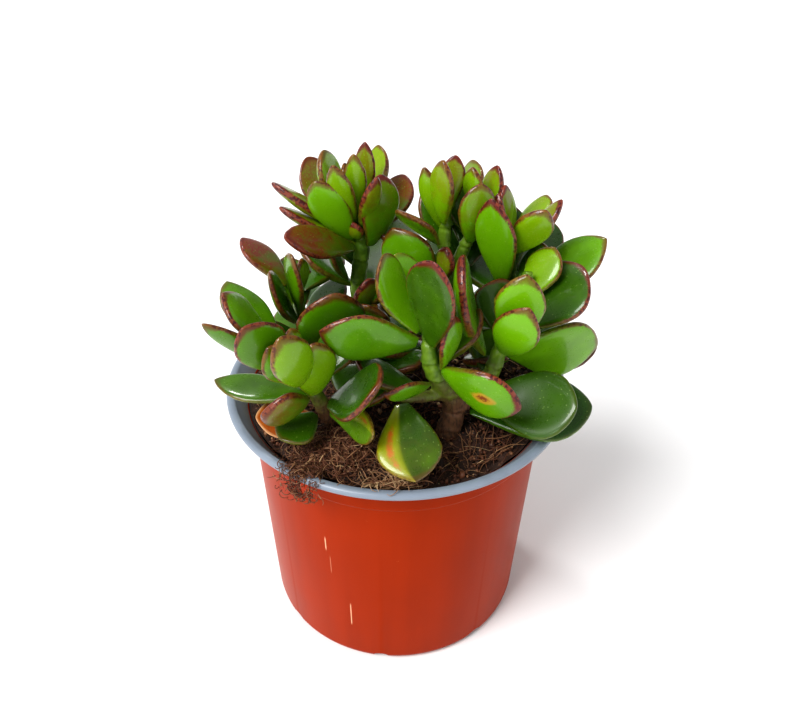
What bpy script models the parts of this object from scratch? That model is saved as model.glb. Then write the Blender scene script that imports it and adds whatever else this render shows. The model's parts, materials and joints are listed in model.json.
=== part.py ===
"""A young jade plant in a plastic nursery pot, in metres, +Z up.

The pot stands on the XY plane with its axis on Z. Six stems grow out of the soil. Every leaf is
one solid of its own that starts just clear of the stem it grows on, and is placed in the plant's
own terms: how high on its shoot, where it points, how steeply it rises, and how far it is turned.
"""

import math

import bmesh
import bpy
from mathutils import Matrix, Vector

MM = 0.001
GAP = 0.35  # air between touching pieces, mm

# Pot, mm
POT_HEIGHT = 84.0
LIP_RADIUS = 52.5
COLLAR_RADIUS = 46.0
COLLAR_FOOT = 71.0  # height of the faint step below the lip
BASE_RADIUS = 42.4
BASE_ROUNDING = 3.0
WALL = 1.1
LIP_DROP = 5.0
POT_SIDES = 64
DRAIN_COUNT = 8
DRAIN_FIRST = -96.0  # degrees
DRAIN_WIDTH = 5.0
DRAIN_HEIGHT = 2.6

# Soil, mm
SOIL_LEVEL = 79.0
SOIL_SIDES = 48
SOIL_RINGS = 9
# x, y, rise and spread of each heap
MOUNDS = [(-15.0, -33.0, 5.5, 8.0), (6.0, -8.0, 1.5, 16.0), (24.0, -30.0, -1.0, 9.0)]

# Stems, mm: points up the middle, then the radius at the foot and at the top
STEM_SIDES = 8
SOCKET_ROOM = 0.7  # the soil's sockets are this much wider and deeper than the stems
STEMS = {
    "tall_left": [
        ([(-4, 4, 73), (-5, 4, 80), (-9, 6, 95), (-12, 7, 112), (-10.5, 7, 125), (-13, 7, 145)], 3.4, 2.1),
    ],
    "mid_left": [
        ([(-16, -2, 73), (-17, -2, 80), (-22, -4, 95), (-27.5, -5, 108), (-29, -4, 117)], 2.6, 1.6),
    ],
    "front_left": [
        ([(-17, -20, 73), (-18, -21, 80), (-20, -26, 90), (-22, -30, 100), (-27, -31, 108),
          (-30, -30, 114)], 2.8, 1.6),
    ],
    "front": [
        ([(14.7, -21.4, 73), (15, -21.4, 80), (16.5, -21, 90), (12, -24, 99), (8.5, -26, 108),
          (8.5, -24, 116), (7, -20, 124)], 4.2, 1.6),
        ([(13.5, -22.5, 94), (7, -27, 96.5), (0.5, -30, 98)], 1.9, 1.4),
        ([(16, -21, 87), (22, -20, 94), (26.5, -19, 99), (28, -18, 105), (31, -16, 113), (34, -13, 120),
          (35, -11, 127)], 3.0, 1.6),
    ],
    "tall_middle": [
        ([(10, 4, 73), (10, 4, 80), (12, 4, 100), (13, 3, 118), (13, 3, 132), (13, 4, 141)], 3.0, 1.6),
        ([(12.8, 3, 112), (18, 4, 124), (21, 4, 133), (24, 5, 141)], 2.2, 1.5),
    ],
    "back_right": [([(26, 2, 73), (26, 2, 80), (30, 1, 100), (32, 0, 117), (31, 1, 130)], 2.8, 1.6)],
}

# Leaves
LEAF_SIDES = 8
LEAF_STATIONS = [0.06, 0.2, 0.36, 0.52, 0.68, 0.83, 0.95]
WIDEST = 1.45  # exponent that puts the widest place at 0.62 of the length
THICKNESS = {"green": (1.2, 0.14), "young": (1.4, 0.22), "blush": (1.2, 0.16), "turning": (1.0, 0.13),
             "dead": (0.6, 0.08)}  # mm, and share of the width

# Shoot: (stem, branch): leaves as (height, azimuth, rise, reach, width, twist, curl, kind), mm and degrees
SHOOTS = {
    "tall_left": ("tall_left", 0, [
        (129, 141, 41, 27, 12, -12, 36, "blush"),
        (133, 170, 64, 22, 11, -9, 13, "young"),
        (126, -146, 57, 26, 11, 47, 11, "green"),
        (125, -128, 25, 33, 10, -45, -3, "blush"),
        (133, 75, 38, 25, 10, -34, 20, "young"),
        (123, -15, 77, 25, 12, -40, 36, "green"),
        (127, 56, 31, 25, 14, -14, 36, "blush"),
        (113, -142, 62, 20, 9, -35, 22, "green"),
    ]),
    "mid_left": ("mid_left", 0, [
        (116.5, 148, 31, 22, 11, 10, -12, "blush"),
        (106, -121, 59, 26, 12, -47, 12, "green"),
        (110, -87, 65, 26, 11, -66, 1, "green"),
        (115, 73, 2, 27, 15, -11, 9, "green"),
        (103, 77, 12, 24, 14, -26, 16, "green"),
        (98, -66, 58, 31, 19, -5, 36, "green"),
    ]),
    "front_left": ("front_left", 0, [
        (111, 133, 25, 29, 14, 20, 0, "green"),
        (113, 178, 51, 22, 14, 6, -7, "green"),
        (109, -154, 42, 28, 7, 54, 5, "green"),
        (108, -129, 54, 25, 13, 69, -3, "green"),
        (105, -120, 54, 21, 10, 69, 18, "green"),
        (104, -102, 57, 28, 11, 54, 33, "young"),
        (98, 164, -2, 31, 11, -6, 10, "green"),
        (98, -138, 10, 18, 13, 66, 11, "blush"),
        (92, -132, -4, 16, 12, -6, 14, "green"),
        (87, -159, 15, 21, 11, -34, 29, "dead"),
        (96, -42, 38, 29, 17, 31, 8, "green"),
        (92, -53, 15, 25, 9, 72, 36, "turning"),
    ]),
    "front": ("front", 0, [
        (113, -166, 15, 30, 15, 81, 10, "green"),
        (100, -132, 19, 23, 7, 63, 12, "green"),
        (114, 175, 63, 27, 12, -24, 29, "green"),
        (113, 126, 54, 25, 13, -7, 30, "green"),
        (112, -91, 68, 34, 15, 136, -5, "green"),
        (104, -47, 73, 21, 9, 12, 19, "green"),
        (88, -2, 3, 39, 23, 16, 5, "green"),
        (106.2, -32, -7, 27, 15, -78, 14, "green"),
    ]),
    "front_twig": ("front", 1, [
        (97.9, -79, -25, 24, 17, 8, 10, "turning"),
    ]),
    "right": ("front", 2, [
        (103, -180, 71, 34, 19, -3, 25, "green"),
        (111, 20, 38, 27, 21, 10, 4, "green"),
        (109, -72, 71, 26, 13, -30, 35, "green"),
        (105, -74, 57, 28, 12, -40, 36, "green"),
        (105, 13, -3, 30, 22, 107, -13, "green"),
        (107, 89, 51, 19, 16, 16, 14, "green"),
        (93, -30, 12, 31, 19, 42, 26, "green"),
    ]),
    "tall_middle": ("tall_middle", 0, [
        (133, -106, 76, 22, 8, -27, 8, "young"),
        (131, 68, 33, 26, 14, -46, 36, "green"),
        (128, -132, 40, 25, 11, -3, -13, "green"),
        (111.5, -176, 56, 26, 16, 65, 13, "green"),
    ]),
    "tall_middle_fork": ("tall_middle", 1, [
        (127, -66, 73, 22, 10, -11, 23, "green"),
    ]),
    "back_right": ("back_right", 0, [
        (115, -137, 71, 33, 12, 15, 13, "green"),
        (129, 52, 24, 21, 10, -23, 18, "young"),
        (120, 63, 8, 32, 18, -2, 30, "green"),
        (113, 3, 34, 32, 16, 18, 19, "green"),
        (101, 3, -12, 32, 20, 15, 36, "green"),
    ]),
}

MATERIALS = {
    "pot": ((0.46, 0.075, 0.016), 0.42),
    "soil": ((0.030, 0.014, 0.007), 0.95),
    "stem": ((0.12, 0.20, 0.02), 0.5),
    "green": ((0.07, 0.22, 0.006), 0.3),
    "young": ((0.20, 0.36, 0.01), 0.3),
    "blush": ((0.22, 0.06, 0.02), 0.35),
    "turning": ((0.24, 0.26, 0.01), 0.35),
    "dead": ((0.55, 0.12, 0.005), 0.6),
}


def clear_scene():
    for obj in list(bpy.data.objects):
        bpy.data.objects.remove(obj, do_unlink=True)


def material(kind):
    """The finish of one kind of piece."""
    found = bpy.data.materials.get(kind)
    if found:
        return found
    colour, roughness = MATERIALS[kind]
    made = bpy.data.materials.new(kind)
    made.use_nodes = True
    shader = made.node_tree.nodes["Principled BSDF"]
    shader.inputs["Base Color"].default_value = (*colour, 1.0)
    shader.inputs["Roughness"].default_value = roughness
    shader.inputs["Metallic"].default_value = 0.0
    return made


def mesh_object(name, points, faces, kind):
    """An object from points in mm and its faces."""
    mesh = bpy.data.meshes.new(name)
    mesh.from_pydata([Vector(p) * MM for p in points], [], faces)
    shell = bmesh.new()
    shell.from_mesh(mesh)
    bmesh.ops.recalc_face_normals(shell, faces=shell.faces)
    shell.to_mesh(mesh)
    shell.free()
    mesh.shade_smooth()
    mesh.set_sharp_from_angle(angle=math.radians(50))
    obj = bpy.data.objects.new(name, mesh)
    obj.data.materials.append(material(kind))
    bpy.context.collection.objects.link(obj)
    return obj


def cutter(obj):
    obj.hide_render = True
    obj.display_type = "WIRE"
    return obj


def boolean(obj, other, operation):
    step = obj.modifiers.new(other.name, "BOOLEAN")
    step.operation = operation
    step.solver = "EXACT"
    step.object = other


def lofted(rings):
    """Points and faces of a skin over rings of equal count, closed by a fan at each end."""
    points = [p for ring in rings for p in ring]
    sides = len(rings[0])
    faces = []
    for row in range(len(rings) - 1):
        for k in range(sides):
            a, b = row * sides + k, row * sides + (k + 1) % sides
            faces.append((a, b, b + sides, a + sides))
    for row in (0, len(rings) - 1):
        middle = sum((Vector(p) for p in rings[row]), Vector()) / sides
        points.append(tuple(middle))
        centre = len(points) - 1
        faces += [(row * sides + k, row * sides + (k + 1) % sides, centre) for k in range(sides)]
    return points, faces


def ring_at(radius, height, sides):
    turn = 2 * math.pi / sides
    return [(radius * math.cos(turn * k), radius * math.sin(turn * k), height) for k in range(sides)]


def wall_radius(height):
    """Outside radius of the tapered wall."""
    top = POT_HEIGHT - LIP_DROP
    return BASE_RADIUS + (COLLAR_RADIUS - BASE_RADIUS) * (height - BASE_ROUNDING) / (top - BASE_ROUNDING)


def make_pot():
    """A turned shell: flat base, rounded foot, tapered wall with a faint collar, and a wide rolled lip."""
    step = 0.35
    outside = [(12.0, 0.0), (BASE_RADIUS - BASE_ROUNDING, 0.0)]
    for angle in (30, 60, 90):
        a = math.radians(angle)
        outside.append((BASE_RADIUS - BASE_ROUNDING * (1 - math.sin(a)), BASE_ROUNDING * (1 - math.cos(a))))
    outside += [
        (wall_radius(COLLAR_FOOT) - step, COLLAR_FOOT),
        (wall_radius(COLLAR_FOOT) + 0.05, COLLAR_FOOT + 0.6),
        (COLLAR_RADIUS, POT_HEIGHT - LIP_DROP),
        (LIP_RADIUS - 1.2, POT_HEIGHT - 2.2),
        (LIP_RADIUS, POT_HEIGHT - 1.2),
        (LIP_RADIUS - 0.2, POT_HEIGHT - 0.4),
        (LIP_RADIUS - 1.2, POT_HEIGHT),
        (LIP_RADIUS - 4.2, POT_HEIGHT - 0.3),
        (COLLAR_RADIUS - WALL + 0.2, POT_HEIGHT - 3.2),
    ]
    inside = [
        (wall_radius(COLLAR_FOOT) - WALL - step, COLLAR_FOOT),
        (wall_radius(BASE_ROUNDING) - WALL, BASE_ROUNDING),
        (BASE_RADIUS - BASE_ROUNDING, WALL + 0.2),
        (12.0, WALL + 0.2),
    ]
    profile = outside + inside
    points, faces = lofted([ring_at(r, z, POT_SIDES) for r, z in profile])
    pot = mesh_object("pot", points, faces, "pot")
    for k in range(DRAIN_COUNT):
        angle = math.radians(DRAIN_FIRST + k * 360 / DRAIN_COUNT)
        corners = ((-1, -1), (1, -1), (1, 0.4), (0.6, 0.9), (-0.6, 0.9), (-1, 0.4))
        arch = [(s * DRAIN_WIDTH / 2, z * DRAIN_HEIGHT) for s, z in corners]
        rings = []
        for reach in (BASE_RADIUS - 4.5, BASE_RADIUS + 3):
            across = Vector((-math.sin(angle), math.cos(angle), 0))
            out = Vector((math.cos(angle), math.sin(angle), 0))
            rings.append([tuple(out * reach + across * s + Vector((0, 0, z))) for s, z in arch])
        points, faces = lofted(rings)
        boolean(pot, cutter(mesh_object(f"drain_cut_{k + 1}", points, faces, "pot")), "DIFFERENCE")
    return pot


def soil_height(x, y):
    """Level of the soil: flat, with a heap at the front left, and shallow waves."""
    height = SOIL_LEVEL + 0.5 * math.sin(0.31 * x + 1) * math.cos(0.27 * y)
    for mx, my, rise, spread in MOUNDS:
        height += rise * math.exp(-((x - mx) ** 2 + (y - my) ** 2) / (2 * spread**2))
    return height


def make_soil():
    """The root ball: fills the pot to just below the lip, with a socket for each stem."""
    floor = WALL + 0.2 + GAP
    foot = BASE_RADIUS - BASE_ROUNDING - 0.6
    edge = COLLAR_RADIUS - WALL - GAP - 0.6
    rings = [ring_at(foot, floor, SOIL_SIDES), ring_at(wall_radius(6) - WALL - GAP - 0.2, 6.0, SOIL_SIDES)]
    for k in range(SOIL_RINGS):
        radius = edge * (1 - k / SOIL_RINGS)
        rings.append([(x, y, soil_height(x, y)) for x, y, _ in ring_at(radius, 0, SOIL_SIDES)])
    points, faces = lofted(rings)
    soil = mesh_object("soil", points, faces, "soil")
    for name, branches in STEMS.items():
        (x, y, foot_z), (x2, y2, z2) = branches[0][0][:2]
        grow = (SOIL_LEVEL + 8 - foot_z) / (z2 - foot_z)
        ends = [(x, y, foot_z - SOCKET_ROOM - GAP), (x + (x2 - x) * grow, y + (y2 - y) * grow, SOIL_LEVEL + 8)]
        rings = tube_rings([Vector(p) for p in ends], lambda _: branches[0][1] + SOCKET_ROOM + GAP, 12)
        points, faces = lofted(rings)
        boolean(soil, cutter(mesh_object(f"socket_cut_{name}", points, faces, "soil")), "DIFFERENCE")
    return soil


def smooth_path(points, steps):
    """A Catmull-Rom curve through the points, with an even number of steps between each two."""
    knots = [Vector(p) for p in points]
    knots = [knots[0] * 2 - knots[1]] + knots + [knots[-1] * 2 - knots[-2]]
    path = []
    for a, b, c, d in zip(knots, knots[1:], knots[2:], knots[3:]):
        for k in range(steps):
            t = k / steps
            path.append(0.5 * (2 * b + (c - a) * t + (2 * a - 5 * b + 4 * c - d) * t**2
                               + (3 * b - a - 3 * c + d) * t**3))
    return path + [knots[-2]]


def tube_rings(path, radius_at, sides):
    """Rings square to a path; radius_at takes the share of the path from 0 to 1."""
    rings = []
    for k, centre in enumerate(path):
        along = (path[min(k + 1, len(path) - 1)] - path[max(k - 1, 0)]).normalized()
        side = along.cross(Vector((0, 1, 0))).normalized()
        other = along.cross(side)
        radius = radius_at(k / (len(path) - 1))
        turn = 2 * math.pi / sides
        rings.append([tuple(centre + radius * (math.cos(turn * j) * side + math.sin(turn * j) * other))
                      for j in range(sides)])
    return rings


def branch_radius(foot, top):
    return lambda share: foot + (top - foot) * share


def make_stems():
    """Each stem with its forks joined to it."""
    for name, branches in STEMS.items():
        whole = None
        for number, (points, foot, top) in enumerate(branches):
            rings = tube_rings(smooth_path(points, 2), branch_radius(foot, top), STEM_SIDES)
            skin = lofted(rings)
            if whole is None:
                whole = mesh_object(f"stem_{name}", *skin, "stem")
            else:
                fork = cutter(mesh_object(f"fork_{name}_{number}", *skin, "stem"))
                boolean(whole, fork, "UNION")


def point_on_stem(stem, branch, height):
    """The middle of the stem and its radius at a height."""
    points, foot, top = STEMS[stem][branch]
    path = smooth_path(points, 8)
    for k, (a, b) in enumerate(zip(path, path[1:])):
        if a.z <= height <= b.z:
            share = (height - a.z) / (b.z - a.z)
            return a.lerp(b, share), foot + (top - foot) * (k + share) / (len(path) - 1)
    return path[-1], top


def leaf_half_width(share, width):
    """Obovate outline: a sine of a power of the length, plus a short stalk."""
    return width / 2 * (math.sin(math.pi * share**WIDEST) ** 0.6 + 0.2 * (1 - share) ** 6)


def leaf_thickness(width, kind):
    least, share = THICKNESS[kind]
    return least + share * width


def leaf_rings(base, tip, side, up, width, curl, kind):
    """Eight-sided sections along an arc from base to tip; the upper face is flatter than the lower."""
    chord = tip - base
    curl = math.radians(curl or 1)
    radius = chord.length / (2 * math.sin(curl / 2))
    forward = chord.normalized()
    rings = []
    for share in LEAF_STATIONS:
        angle = curl * (share - 0.5)
        centre = base + chord / 2 + forward * radius * math.sin(angle)
        centre -= up * radius * (math.cos(angle) - math.cos(curl / 2))
        half = leaf_half_width(share, width)
        deep = leaf_thickness(width, kind) * math.sin(math.pi * share**1.1) ** 0.45
        ring = []
        for k in range(LEAF_SIDES):
            turn = 2 * math.pi * k / LEAF_SIDES
            lift = math.sin(turn) * deep * (0.38 if k < LEAF_SIDES / 2 else 0.62)
            ring.append(tuple(centre + side * half * math.cos(turn) + up * lift))
        rings.append(ring)
    return rings


def make_leaf(name, root, root_radius, azimuth, rise, reach, width, twist, curl, kind):
    """One leaf that grows from a stem point and ends at its reach in the given direction."""
    a, e = math.radians(azimuth), math.radians(rise)
    out = Vector((math.cos(a), math.sin(a), 0))
    forward = out * math.cos(e) + Vector((0, 0, math.sin(e)))
    tip = root + forward * reach
    clear = root_radius + GAP + 0.45 + 0.35 * leaf_thickness(width, kind) * math.sin(e)
    base = root + out * clear * math.cos(e) ** 0.3 + Vector((0, 0, 0.6 * clear * math.sin(e)))
    axis = (tip - base).normalized()
    up = (Vector((0, 0, 1)) - axis * axis.z).normalized()
    up = Matrix.Rotation(math.radians(twist), 3, axis) @ up
    side = axis.cross(up)
    rings = leaf_rings(base, tip, side, up, width, curl, kind)
    points = [p for ring in rings for p in ring] + [tuple(base), tuple(tip)]
    faces = []
    for row in range(len(rings) - 1):
        for k in range(LEAF_SIDES):
            p, q = row * LEAF_SIDES + k, row * LEAF_SIDES + (k + 1) % LEAF_SIDES
            faces.append((p, q, q + LEAF_SIDES, p + LEAF_SIDES))
    last = (len(rings) - 1) * LEAF_SIDES
    for k in range(LEAF_SIDES):
        after = (k + 1) % LEAF_SIDES
        faces.append((k, after, len(points) - 2))
        faces.append((last + k, last + after, len(points) - 1))
    return mesh_object(name, points, faces, kind)


def make_leaves():
    for shoot, (stem, branch, leaves) in SHOOTS.items():
        for number, (height, *turns, kind) in enumerate(leaves, 1):
            root, root_radius = point_on_stem(stem, branch, height)
            make_leaf(f"leaf_{shoot}_{number}", root, root_radius, *turns, kind)


clear_scene()
make_pot()
make_soil()
make_stems()
make_leaves()
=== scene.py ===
"""The fine model of a young jade plant in a nursery pot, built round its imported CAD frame.

The axes are the frame's own: +Z up, the pot standing on the XY plane. The frame, the settings and the
stage are in metres. The tables and the sums inside the functions are in millimetres and degrees, and
MM turns them into metres where a mesh is made.
"""

import json
import math

import bmesh
import bpy
import numpy as np
from mathutils import Matrix, Vector


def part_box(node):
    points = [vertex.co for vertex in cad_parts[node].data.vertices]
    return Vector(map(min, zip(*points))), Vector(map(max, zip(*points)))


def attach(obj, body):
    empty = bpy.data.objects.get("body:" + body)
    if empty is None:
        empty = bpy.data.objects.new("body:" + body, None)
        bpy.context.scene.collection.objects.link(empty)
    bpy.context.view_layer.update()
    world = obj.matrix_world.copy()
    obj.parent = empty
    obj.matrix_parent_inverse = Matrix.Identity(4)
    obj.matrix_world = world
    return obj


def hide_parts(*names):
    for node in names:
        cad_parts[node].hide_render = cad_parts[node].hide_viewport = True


bl_info = {
    "name": "Potted Jade Plant",
    "version": (1, 0, 0),
    "blender": (4, 5, 0),
    "location": "View3D > Sidebar > Jade Plant",
    "description": "Builds a young jade plant in a nursery pot, leaf by leaf",
    "category": "Add Mesh",
}

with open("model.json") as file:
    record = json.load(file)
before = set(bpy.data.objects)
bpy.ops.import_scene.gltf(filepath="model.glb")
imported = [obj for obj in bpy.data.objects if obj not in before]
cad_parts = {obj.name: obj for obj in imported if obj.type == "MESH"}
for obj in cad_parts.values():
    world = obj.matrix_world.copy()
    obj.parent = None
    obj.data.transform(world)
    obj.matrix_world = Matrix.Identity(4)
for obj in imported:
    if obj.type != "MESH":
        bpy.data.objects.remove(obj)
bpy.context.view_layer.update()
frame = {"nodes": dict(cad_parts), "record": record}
NODES = frame["nodes"]
SLOTS = {part["node"]: part["material_slot"] for part in frame["record"]["subparts"]}
MM = 0.001
POT_HIGH = np.array(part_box("pot")[1]) / MM
LIP_RADIUS = float(POT_HIGH[0])
POT_HEIGHT = float(POT_HIGH[2])
SOIL_RADIUS = float(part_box("soil")[1][0] / MM)

# Leaf outline and sections, the same laws as the frame's solids
WIDEST = 1.45  # exponent that puts the widest place at WIDE_AT of the length
WIDE_AT = 0.62
STATIONS = np.array([0.06, 0.2, 0.36, 0.52, 0.68, 0.83, 0.95])
NARROW, MIDDLE, WIDE = 2, 3, 4  # places in STATIONS: before the middle, near it, and near the widest
LEAF_SIDES = 8
LEAF_ROWS = 64  # of the fine leaves
LEAF_COLUMNS = 56
STALK_RADIUS = 1.8  # where the young leaves leave their stem

# Soil: x, y, rise and spread of each heap
MOUNDS = [(-15.0, -33.0, 5.5, 8.0), (6.0, -8.0, 1.5, 16.0), (24.0, -30.0, -1.0, 9.0)]
SOIL_LEVEL = 79.0
SOIL_EDGE = SOIL_RADIUS + 1.7  # the fine soil closes the gap to the tapered wall
SOIL_FOOT = 3.4
TANGLE = (-17.0, -34.5)  # middle of the fibres on the first heap
TUFT_TURN = -119.5  # where fibres hang over the lip

# Pale scuffs on the pot: angle at the top, lean, foot, top, half width, strength
SCUFFS = [
    (-117.5, 1.3, 48.0, 55.0, 0.30, 0.9),
    (-108.5, 2.0, 15.0, 27.0, 0.28, 0.9),
    (-116.0, 1.0, 38.0, 47.0, 0.18, 0.4),
    (-126.0, -0.4, 71.0, 75.0, 0.22, 0.6),
    (20.0, 1.4, 30.0, 42.0, 0.25, 0.6),
    (84.0, -1.6, 20.0, 33.0, 0.25, 0.7),
    (150.0, 0.8, 44.0, 52.0, 0.22, 0.6),
]
SCUFF_RADIUS = 46.0  # turns their angles into lengths

# Stage, in metres: name, place, width in degrees and strength of each sun, then the floor and the camera
SUNS = [
    ("key", (-0.55, -0.45, 0.85), 30, 3.0),
    ("fill", (0.80, -0.55, 0.50), 60, 0.25),
    ("glint_behind", (-0.30, 0.45, 0.90), 7, 0.55),
    ("glint_front", (-0.60, -0.80, 0.42), 8, 0.2),
]
WORLD_STRENGTH = 0.42
FLOOR_LEVEL = -0.0002  # clear of the pot's foot
FLOOR_FLAT, FLOOR_REACH, FLOOR_RISE = 2.0, 8.0, 1.7
CAMERA_PLACE, CAMERA_TARGET = (0.0, -0.194, 0.225), (0.0008, 0.0, 0.093)
CAMERA_ROLL, CAMERA_LENS, CAMERA_SENSOR = 0.67, 34.56, 36.0

# Looks of the leaves by finish: lime from 0, deep green, to 1, bright; red margin; flush over the face;
# yellowing. LEAF_LOOKS adds pointed (straighter sides to the tip), plump, dish, crease (a ridge, with the
# yellowing kept to one side of it and the green on the other side as painted shade) and spot.
KIND_LOOKS = {
    "green": {"lime": 0.35, "margin": 0.75, "flush": 0.0, "yellow": 0.0},
    "young": {"lime": 0.85, "margin": 0.8, "flush": 0.05, "yellow": 0.25},
    "blush": {"lime": 0.3, "margin": 0.9, "flush": 0.75, "yellow": 0.2},
    "turning": {"lime": 0.5, "margin": 0.9, "flush": 0.1, "yellow": 0.9},
    "dead": {"lime": 0.0, "margin": 0.2, "flush": 0.0, "yellow": 1.0},
}
LEAF_LOOKS = {
    "leaf_front_1": {"lime": 0.55, "pointed": 1.0, "margin": 1.0},
    "leaf_front_2": {"lime": 0.5, "margin": 1.0},
    "leaf_front_3": {"lime": 0.95, "pointed": 0.3, "margin": 0.8},
    "leaf_front_4": {"lime": 1.0, "pointed": 0.3, "margin": 0.5},
    "leaf_front_5": {"lime": 0.25, "margin": 1.2, "dish": 0.7, "pointed": 0.1},
    "leaf_front_6": {"lime": 0.7, "margin": 1.2},
    "leaf_front_7": {"lime": 0.05, "margin": 0.1, "pointed": 0.3},
    "leaf_front_8": {"lime": 0.6, "margin": 1.2, "spot": (0.6, 0.1), "pointed": 0.3, "plump": 1.3},
    "leaf_right_1": {"lime": 0.7, "margin": 1.2, "plump": 1.4},
    "leaf_right_2": {"lime": 0.2, "dish": 0.6, "pointed": 0.2, "margin": 1.0},
    "leaf_right_3": {"lime": 1.0, "pointed": 1.0},
    "leaf_right_4": {"lime": 1.15, "margin": 0.9, "pointed": 0.8},
    "leaf_right_5": {"lime": 0.8, "dish": 0.9, "pointed": 0.8},
    "leaf_right_6": {"lime": 0.15},
    "leaf_right_7": {"lime": 0.15, "margin": 0.1, "dish": 0.7, "pointed": 0.1},
    "leaf_front_left_1": {"lime": 0.75, "pointed": 1.0, "margin": 0.5},
    "leaf_front_left_2": {"lime": 0.75, "pointed": 1.0, "margin": 1.0},
    "leaf_front_left_4": {"lime": 0.35, "margin": 1.0},
    "leaf_front_left_5": {"lime": 0.55},
    "leaf_front_left_6": {"lime": 0.75, "margin": 0.8, "pointed": 0.2, "flush": 0.0},
    "leaf_front_left_7": {"lime": 0.35, "pointed": 1.0, "margin": 0.4},
    "leaf_front_left_8": {"flush": 0.55, "lime": 0.3, "plump": 1.3},
    "leaf_front_left_9": {"lime": 0.15, "margin": 0.3},
    "leaf_front_left_11": {"lime": 0.05, "margin": 0.9, "dish": 0.8},
    "leaf_front_left_12": {"yellow": 0.7, "crease": 0.3, "margin": 0.5},
    "leaf_front_twig_1": {"yellow": 0.8, "crease": -0.3, "lime": 0.3, "plump": 1.2, "margin": 0.4,
                          "pointed": 1.0},
    "leaf_tall_left_1": {"lime": 0.75, "flush": 0.75, "pointed": 0.2},
    "leaf_tall_left_2": {"lime": 1.0, "yellow": 0.25, "pointed": 0.2},
    "leaf_tall_left_3": {"lime": 0.95, "pointed": 0.2},
    "leaf_tall_left_4": {"lime": 0.3, "flush": 1.0, "plump": 1.3},
    "leaf_tall_left_5": {"lime": 1.0, "yellow": 0.35, "flush": 0.2},
    "leaf_tall_left_6": {"lime": 0.65, "margin": 1.3, "flush": 0.3, "pointed": 0.1},
    "leaf_tall_left_7": {"lime": 0.4, "flush": 0.9, "pointed": 0.1},
    "leaf_mid_left_1": {"lime": 0.3, "flush": 1.05},
    "leaf_mid_left_6": {"lime": 0.55, "pointed": 0.3, "margin": 0.9},
    "leaf_tall_middle_1": {"lime": 0.95, "flush": 0.35},
    "leaf_tall_middle_2": {"lime": 0.9, "flush": 0.35},
    "leaf_tall_middle_4": {"lime": 0.65, "pointed": 1.0, "margin": 0.8},
    "leaf_tall_middle_fork_1": {"lime": 0.8, "flush": 0.3, "pointed": 0.3},
    "leaf_back_right_1": {"lime": 0.75, "margin": 1.2, "pointed": 1.0},
    "leaf_back_right_2": {"lime": 0.9, "flush": 0.2},
    "leaf_back_right_3": {"lime": 0.0, "pointed": 0.8},
    "leaf_back_right_4": {"lime": 0.75, "pointed": 1.0},
    "leaf_back_right_5": {"lime": 0.3},
}
TIP_BLUSH = {"lime": 0.95, "flush": 0.5, "plump": 1.3, "margin": 1.1}

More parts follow.
